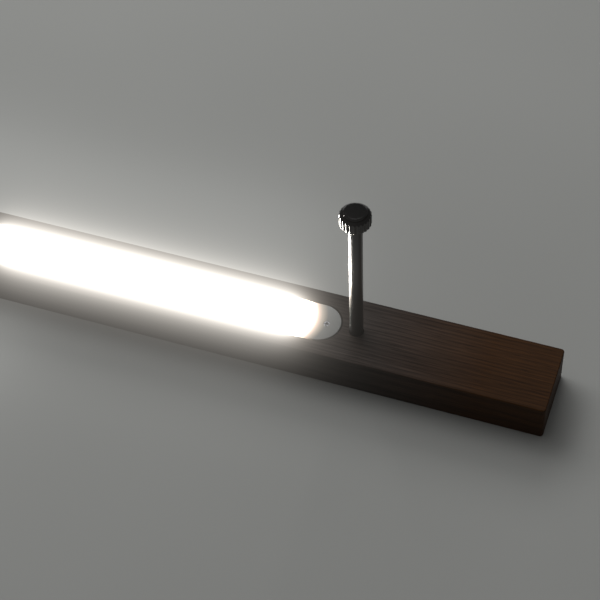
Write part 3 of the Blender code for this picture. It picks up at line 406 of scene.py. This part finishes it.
# Electrical housings: off-white nylon, faintly grained and softly satin.
NYLON_WHITE = moulded("nylon_white_moulded", "dddcd5", "d3d2cb", (0.4, 0.5), 0.5)
# Potentiometer and transformer bodies: black nylon.
NYLON_BLACK = moulded("nylon_black_moulded", "1d1d1e", "161617", (0.4, 0.5), 0.5)
# Back plates: fine-textured black powder coat, with an orange-peel grain.
POWDER_COAT = moulded("powder_coat_black_fine", "212122", "19191a", (0.48, 0.62), 0.6, 0.5)
# The mains grommet: matt black rubber.
RUBBER = moulded("rubber_black_moulded", "1a1a1a", "141414", (0.65, 0.8), 0.8, 0.25, Specular_IOR_Level=0.4)
# The inner leads: grey PVC sheath with a soft shine.
SHEATH = moulded("pvc_sheath_grey", "939496", "898a8c", (0.45, 0.55), 0.8)

SLOT_MATERIALS = {
    "wood": smoked_oak(),
    "opal_cover": opal_acrylic(),
    "black_enamel": BLACK_ENAMEL,
    "black_knob": PHENOLIC,
    "zinc_steel": ZINC,
    "aluminium": ALUMINIUM,
    "led_board": led_board_white(),
    "white_plastic": NYLON_WHITE,
    "black_plastic": NYLON_BLACK,
    "circuit_board": circuit_board_green(),
    "brass": BRASS,
    "powder_coat": POWDER_COAT,
    "rubber": RUBBER,
    "lead_sheath": SHEATH,
}

SLOT_OF = {part["node"]: part["material_slot"] for part in frame["record"]["subparts"]}
BODY_OF = {node: body for body, nodes in frame["record"]["behaviour"]["bodies"].items() for node in nodes}


# Pieces


def dress_frame():
    """Gives every node of the frame the finish of its slot."""
    for name, node in frame["nodes"].items():
        node.data.materials.clear()
        node.data.materials.append(SLOT_MATERIALS[SLOT_OF[name]])


def mesh_of(name, bm):
    """A mesh from a body, with all its faces turned outwards."""
    mesh = bpy.data.meshes.new(name)
    bmesh.ops.recalc_face_normals(bm, faces=bm.faces)
    bm.to_mesh(mesh)
    bm.free()
    return mesh


def piece(name, bm, node, smooth=35):
    """A piece that stands for a node, rides with its body and takes its slot."""
    mesh = mesh_of(name, bm)
    mesh.shade_smooth()
    mesh.set_sharp_from_angle(angle=math.radians(smooth))
    mesh.materials.append(SLOT_MATERIALS[SLOT_OF[node]])
    made = bpy.data.objects.new(name, mesh)
    bpy.context.scene.collection.objects.link(made)
    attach(made, BODY_OF[node])
    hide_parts(node)
    return made


def turned(profile, steps=96):
    """A body turned about Z from (radius, height) points, closed on the axis or as a ring on itself."""
    bm = bmesh.new()
    verts = [bm.verts.new((radius, 0, height)) for radius, height in profile]
    edges = [bm.edges.new(pair) for pair in zip(verts, verts[1:])]
    if profile[0][0] > 0 and profile[-1][0] > 0:
        edges.append(bm.edges.new((verts[-1], verts[0])))
    turn = {"cent": (0, 0, 0), "axis": (0, 0, 1), "angle": math.tau, "steps": steps}
    bmesh.ops.spin(bm, geom=verts + edges, use_merge=True, **turn)
    bmesh.ops.remove_doubles(bm, verts=bm.verts, dist=EPSILON)
    return bm


def arc(centre, radius, start, end, steps=5):
    """Profile points round a centre, from one angle in degrees to another."""
    angles = [math.radians(start + (end - start) * n / steps) for n in range(steps + 1)]
    return [(centre[0] + radius * math.cos(a), centre[1] + radius * math.sin(a)) for a in angles]


def thread(radius, depth, start, end, pitch):
    """Profile points of thread grooves from one height to another."""
    count = max(2, round(abs(end - start) / pitch))
    step = (end - start) / count
    points = []
    for n in range(count):
        points += [(radius, start + step * n), (radius - depth, start + step * (n + 0.5))]
    return points + [(radius, end)]


def from_frame(node):
    """A node's shape with its loose triangles merged into whole faces."""
    bm = bmesh.new()
    bm.from_mesh(frame["nodes"][node].data)
    bmesh.ops.remove_doubles(bm, verts=bm.verts, dist=EPSILON)
    bmesh.ops.dissolve_limit(bm, angle_limit=math.radians(0.5), verts=bm.verts, edges=bm.edges)
    return bm


def put(bm, at, turn=None):
    """Turns a body about the origin and moves it."""
    if turn:
        bmesh.ops.rotate(bm, verts=bm.verts, cent=(0, 0, 0), matrix=turn)
    bmesh.ops.translate(bm, verts=bm.verts, vec=at)
    return bm


UPSIDE_DOWN = Matrix.Rotation(math.pi, 3, "X")
FACING_BACK = Matrix.Rotation(-math.pi / 2, 3, "X")


def beam_timber():
    """The beam's own shape, with its eased edges shaded as round."""
    timber = piece("beam_timber", from_frame("wood_beam"), "wood_beam")
    weighted = timber.modifiers.new("weighted_normals", "WEIGHTED_NORMAL")
    weighted.keep_sharp = True


COVER_EDGE = 0.6 * MM  # radius of the eased top edge
SHADOW_LINE = 0.35 * MM  # how much wider than the fit the dark line round the cover is drawn
COVER_SCREW_BORE = 1.5 * MM  # radius of the hole
COVER_SCREW_SEAT = 2.65 * MM  # radius of the countersink's rim


def ring(bm, radius, height, steps, along=0, half_length=0):
    """A level circle, or with a half length a slot's outline, centred at that place along the beam."""
    half_step = Matrix.Rotation(math.pi / steps, 4, "Z")
    verts = bmesh.ops.create_circle(bm, segments=steps, radius=radius, matrix=half_step)["verts"]
    for vert in verts:
        vert.co.x += along + math.copysign(half_length, vert.co.x)
        vert.co.z = height
    return list({edge for vert in verts for edge in vert.link_edges})


def bridged(bm, rings):
    """Joins rings of equal counts by walls, each to the next."""
    for low, high in zip(rings, rings[1:]):
        bmesh.ops.bridge_loops(bm, edges=low + high)


def cover_sheet():
    """The opal sheet: round ends, eased top edges, and a countersunk hole near each end."""
    bm = bmesh.new()
    low, high = COVER
    radius = width(COVER) / 2 - SHADOW_LINE
    reach = high.x - width(COVER) / 2
    edge = arc((radius - COVER_EDGE, high.z - COVER_EDGE), COVER_EDGE, 0, 90)
    sides = [ring(bm, r, z, 128, half_length=reach) for r, z in [(radius, low.z)] + edge]
    bridged(bm, sides)
    floors, tops = [sides[0]], [sides[-1]]
    seat = high.z - (COVER_SCREW_SEAT - COVER_SCREW_BORE)
    for screw in ("cover_screw_left", "cover_screw_right"):
        at = middle(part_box(screw)).x
        hole = ((COVER_SCREW_BORE, low.z), (COVER_SCREW_BORE, seat), (COVER_SCREW_SEAT, high.z))
        walls = [ring(bm, r, z, 48, along=at) for r, z in hole]
        bridged(bm, walls)
        floors.append(walls[0])
        tops.append(walls[-1])
    for level in (floors, tops):
        bmesh.ops.triangle_fill(bm, use_beauty=True, edges=[edge for loop in level for edge in loop])
    piece("cover_sheet", bm, "light_cover", smooth=30)


HEAD_RISE = 0.58  # height of a countersunk head, to its radius
SHANK = 0.45  # radius of the shank, to the head's
CROSS = 0.72  # half width of the cross recess, to the head's radius


def sink_cross(bm, half_width, depth):
    """A cross recess, opening at Z=0 and drawn in towards its bottom. Its rim is left open."""
    cells = bmesh.ops.create_grid(bm, x_segments=3, y_segments=3, size=half_width)["verts"]
    faces = {face for vert in cells for face in vert.link_faces}
    outside = half_width / 2
    corners = [face for face in faces if min(map(abs, face.calc_center_median().xy)) > outside]
    bmesh.ops.delete(bm, geom=corners, context="FACES")
    cross = [face for face in faces if face.is_valid]
    sunk = bmesh.ops.extrude_face_region(bm, geom=cross)["geom"]
    floor = [part for part in sunk if isinstance(part, bmesh.types.BMVert)]
    bmesh.ops.scale(bm, verts=floor, vec=(0.4, 0.4, 1))
    bmesh.ops.translate(bm, verts=floor, vec=(0, 0, -depth))
    bmesh.ops.delete(bm, geom=cross, context="FACES")


def wood_screw(node, upwards=False):
    """A countersunk wood screw with a cross recess. Its head is on top, or with upwards at the bottom."""
    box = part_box(node)
    head, length = width(box) / 2, box[1].z - box[0].z
    shank, rise = head * SHANK, head * HEAD_RISE
    profile = [(0, -length)]
    profile += thread(shank, 0.25 * MM, -length + shank, -rise - shank, 1.1 * MM)
    profile += [(shank, -rise), (head, -0.2 * MM), (head - 0.1 * MM, 0)]
    bm = turned(profile, 48)
    bmesh.ops.delete(bm, geom=[face for face in bm.faces if face.normal.z > 0.99], context="FACES")
    sink_cross(bm, head * CROSS, head * 0.5)
    rim = [edge for edge in bm.edges if edge.is_boundary]
    bmesh.ops.triangle_fill(bm, use_beauty=True, edges=rim)
    level = box[0].z if upwards else box[1].z
    put(bm, (middle(box).x, middle(box).y, level), UPSIDE_DOWN if upwards else None)
    piece(node + "_crossed", bm, node)


def stem_pipe():
    """The enamelled tube: eased at the top, and threaded at the bottom for the lock nut."""
    low, high = STEM
    radius, bore = width(STEM) / 2, width(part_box("shaft_sleeve")) / 2 + FIT_GAP
    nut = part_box("stem_lock_nut")
    profile = thread(radius, 0.2 * MM, low.z + 0.4 * MM, nut[1].z, 0.75 * MM)
    profile += arc((radius - 0.25 * MM, high.z - 0.25 * MM), 0.25 * MM, 0, 90)
    profile += [(bore, high.z), (bore, low.z), (radius - 0.4 * MM, low.z)]
    piece("stem_pipe", put(turned(profile), (middle(STEM).x, 0, 0)), "stem_tube")


def bore_out(made, bm):
    """Cuts a shape out of a piece for good."""
    tool = bpy.data.objects.new("tool", mesh_of("tool", bm))
    bpy.context.scene.collection.objects.link(tool)
    cut = made.modifiers.new("cut", "BOOLEAN")
    cut.solver = "EXACT"
    cut.object = tool
    bpy.context.view_layer.update()
    mesh = bpy.data.meshes.new_from_object(made.evaluated_get(bpy.context.evaluated_depsgraph_get()))
    made.modifiers.clear()
    made.data = mesh
    bpy.data.objects.remove(tool)


FLUTES = 24
STEPS_PER_FLUTE = 14
FLUTE_DEPTH = 0.65 * MM
KNOB_WALL = 4 * MM  # from the grip's outside to the recess under it
KNOB_RECESS = 2.6 * MM  # depth of that recess
KNOB_EDGE = 0.7 * MM  # radius of the rounded foot
KNOB_SHOULDER = 1.8 * MM  # height of the shoulder
SHOULDER_INSET = 0.9 * MM  # how far it has drawn in halfway up
GRUB_HOLE = 1.8 * MM  # radius of the hole over the grub screw
CAP_SINK = 0.8 * MM  # depth of the seat for the cap
CAP_WEB = 1.2 * MM  # thickness of the floor under the seat
CAP_RIM = 0.8 * MM  # width of the rim round the seat


def knob_grip():
    """The fluted grip: a rounded foot, flutes that run out on the shoulder, and a seat for the cap."""
    radius = width(KNOB) / 2
    foot, top = KNOB[0].z, KNOB[1].z
    seat, bore = width(CAP) / 2 + FIT_GAP, width(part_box("drive_shaft")) / 2 + FIT_GAP
    hub, floor, recess = foot + KNOB_RECESS, top - CAP_SINK, radius - KNOB_WALL
    profile = [(0, floor - CAP_WEB), (bore, floor - CAP_WEB)]
    profile += [(bore, hub + 0.2 * MM), (bore + 0.2 * MM, hub)]
    profile += [(recess - 0.3 * MM, hub), (recess, hub - 0.3 * MM), (recess, foot + 0.2 * MM)]
    profile += [(recess + 0.2 * MM, foot)]
    profile += arc((radius - KNOB_EDGE, foot + KNOB_EDGE), KNOB_EDGE, -90, 0)
    rim = seat - FIT_GAP + CAP_RIM
    waist = (radius - SHOULDER_INSET, top - KNOB_SHOULDER / 2)
    shoulder = [(radius, top - KNOB_SHOULDER), waist, (rim, top)]
    for start, end in zip(shoulder, shoulder[1:]):
        profile += [tuple(Vector(start).lerp(Vector(end), n / 4)) for n in range(4)]
    profile += [(rim - 0.1 * MM, top), (seat + 0.1 * MM, top), (seat, top - 0.1 * MM)]
    profile += [(seat, floor), (0, floor)]
    bm = turned(profile, FLUTES * STEPS_PER_FLUTE)
    for vert in bm.verts:
        reach = vert.co.xy.length
        wave = (1 - math.cos(FLUTES * math.atan2(vert.co.y, vert.co.x))) / 2
        limit = radius - FLUTE_DEPTH * wave
        if reach > limit:
            vert.co.xy *= limit / reach
    grip = piece("knob_grip", put(bm, (middle(KNOB).x, 0, 0)), "knob", smooth=40)
    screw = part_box("knob_grub_screw")
    hole = turned([(0, 0), (GRUB_HOLE, 0), (GRUB_HOLE, radius), (0, radius)], 32)
    bore_out(grip, put(hole, (middle(screw).x, 0, middle(screw).z), FACING_BACK))


def knob_disc():
    """The cap: a rounded edge round a slightly sunk face."""
    low, high = CAP
    radius, edge, dish = width(CAP) / 2, 0.25 * MM, 0.06 * MM
    profile = [(0, low.z), (radius - 0.2 * MM, low.z), (radius, low.z + 0.2 * MM)]
    profile += arc((radius - edge, high.z - edge), edge, 0, 90)
    for share, sink in ((0.82, 0), (0.81, 0), (0.76, dish), (0.75, dish), (0.4, dish), (0, dish)):
        profile.append((radius * share, high.z - sink))
    piece("knob_disc", put(turned(profile), (middle(CAP).x, 0, 0)), "knob_cap")


def grub_screw():
    """The knob's socket screw, set in from its back, with a six-sided socket."""
    low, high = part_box("knob_grub_screw")
    radius, length = (high.x - low.x) / 2, high.y - low.y
    profile = [(0, 0), (radius - 0.3 * MM, 0)]
    profile += thread(radius, 0.15 * MM, 0.3 * MM, length - 0.2 * MM, 0.5 * MM)
    profile += [(radius - 0.15 * MM, length)]
    bm = turned(profile, 32)
    bmesh.ops.delete(bm, geom=[face for face in bm.faces if face.normal.z > 0.99], context="FACES")
    walls = [ring(bm, radius / 2, z, 6) for z in (length, length / 2)]
    bridged(bm, walls)
    bmesh.ops.triangle_fill(bm, use_beauty=True, edges=walls[1])
    bmesh.ops.triangle_fill(bm, use_beauty=True, edges=[edge for edge in bm.edges if edge.is_boundary])
    centre = middle((low, high))
    piece("grub_screw_socket", put(bm, (centre.x, low.y, centre.z), FACING_BACK), "knob_grub_screw")


PLATE_EDGE = 0.25 * MM


def back_plate(node):
    """A back plate with its outer edges and holes eased."""
    bm = from_frame(node)
    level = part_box(node)[0].z
    rims = [
        edge
        for edge in bm.edges
        if all(vert.co.z < level + EPSILON for vert in edge.verts) and edge.calc_face_angle(0) > 0.5
    ]
    bmesh.ops.bevel(bm, geom=rims, offset=PLATE_EDGE, affect="EDGES", segments=2, profile=0.5, material=-1)
    piece(node + "_plate", bm, node, smooth=30)


def inlet_grommet():
    """A rubber grommet with rounded lips on both sides of the back plate."""
    low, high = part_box("mains_grommet")
    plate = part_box("driver_hatch")
    rim, neck, bore, lip = width((low, high)) / 2, 4.7 * MM, 3.5 * MM, 0.9 * MM
    under, over = plate[0].z - FIT_GAP, plate[1].z + FIT_GAP
    profile = arc((bore + lip, low.z + lip), lip, 180, 270, 6)
    profile += arc((rim - lip, low.z + lip), lip, 270, 360, 6)
    profile += [(rim, under), (neck, under), (neck, over), (rim, over)]
    profile += arc((rim - lip, high.z - lip), lip, 0, 90, 6)
    profile += arc((bore + lip, high.z - lip), lip, 90, 180, 6)
    piece("inlet_grommet", put(turned(profile, 64), (middle((low, high)).x, 0, 0)), "mains_grommet")


def threaded_insert(node):
    """A brass insert with an eased flange, a coarse thread in the wood and a fine one in its bore."""
    low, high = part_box(node)
    flange, body, bore = width((low, high)) / 2, 5.5 * MM, 3.3 * MM
    shelf = low.z + 1 * MM
    profile = thread(bore, -0.35 * MM, high.z - 0.4 * MM, low.z + 0.8 * MM, 1.25 * MM)
    profile += [(bore + 0.6 * MM, low.z)] + arc((flange - 0.3 * MM, low.z + 0.3 * MM), 0.3 * MM, 270, 360)
    profile += [(flange, shelf)] + thread(body, 0.5 * MM, shelf, high.z - 0.5 * MM, 1.6 * MM)
    profile += [(body - 0.5 * MM, high.z), (bore + 0.4 * MM, high.z)]
    piece(node + "_threaded", put(turned(profile, 64), (middle((low, high)).x, 0, 0)), node)


def main():
    set_camera()
    set_studio()
    set_lens_glow()
    dress_frame()
    beam_timber()
    cover_sheet()
    for node in frame["nodes"]:
        if "screw" in node and "board" not in node and "grub" not in node:
            wood_screw(node, upwards=not node.startswith(("cover", "rail")))
    stem_pipe()
    knob_grip()
    knob_disc()
    grub_screw()
    back_plate("dimmer_hatch")
    back_plate("driver_hatch")
    inlet_grommet()
    threaded_insert("suspension_insert_left")
    threaded_insert("suspension_insert_right")


main()
